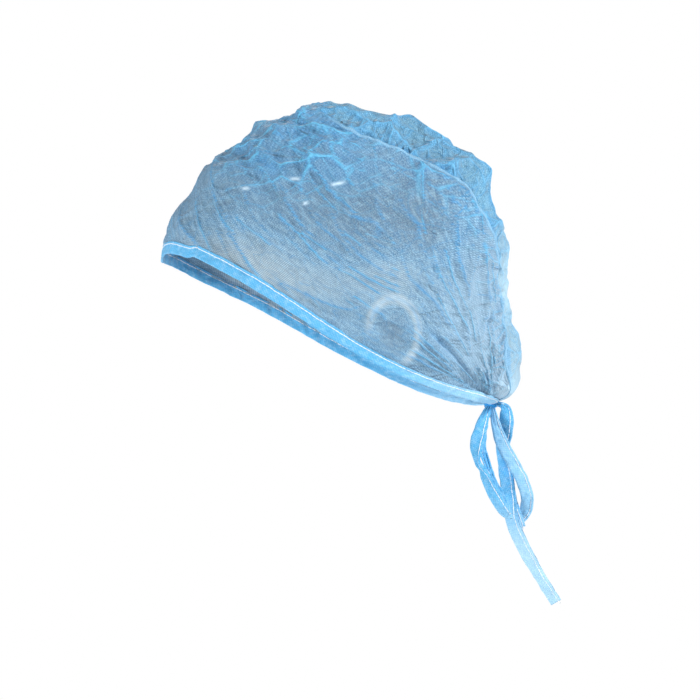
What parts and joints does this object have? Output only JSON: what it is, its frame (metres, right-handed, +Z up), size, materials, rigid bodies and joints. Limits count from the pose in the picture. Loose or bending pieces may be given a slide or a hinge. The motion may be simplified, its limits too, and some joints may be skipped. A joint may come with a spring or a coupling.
{
  "type": "surgical cap",
  "caption": "Tie-back surgical cap of thin pale blue nonwoven cloth: a wide side band, a gathered crown panel with a nape pouch, a stitched rim binding and a bow at the nape.",
  "frame": {"origin": "where the top of the wearer's head touches the inside of the crown, on the cap's midline", "axes": "+Z up, -Y towards the wearer's forehead, +X towards the wearer's left"},
  "size_m": [0.159, 0.2319, 0.2951],
  "materials": {
    "crown_cloth": "spunbond polypropylene, light blue, crumpled single layer",
    "band_cloth": "spunbond polypropylene, light blue, smooth single layer",
    "binding_tape": "spunbond polypropylene folded into a stitched tape",
    "knotted_tape": "the same tape pulled tight in a knot"
  },
  "bodies": {
    "root": {"crown_panel": "crown_cloth", "side_band": "band_cloth", "rim_binding": "binding_tape", "bow_loop_left": "binding_tape", "bow_loop_right": "binding_tape", "tie_tail_long": "binding_tape", "tie_tail_short": "binding_tape", "tie_knot": "knotted_tape"}
  },
  "joints": []
}
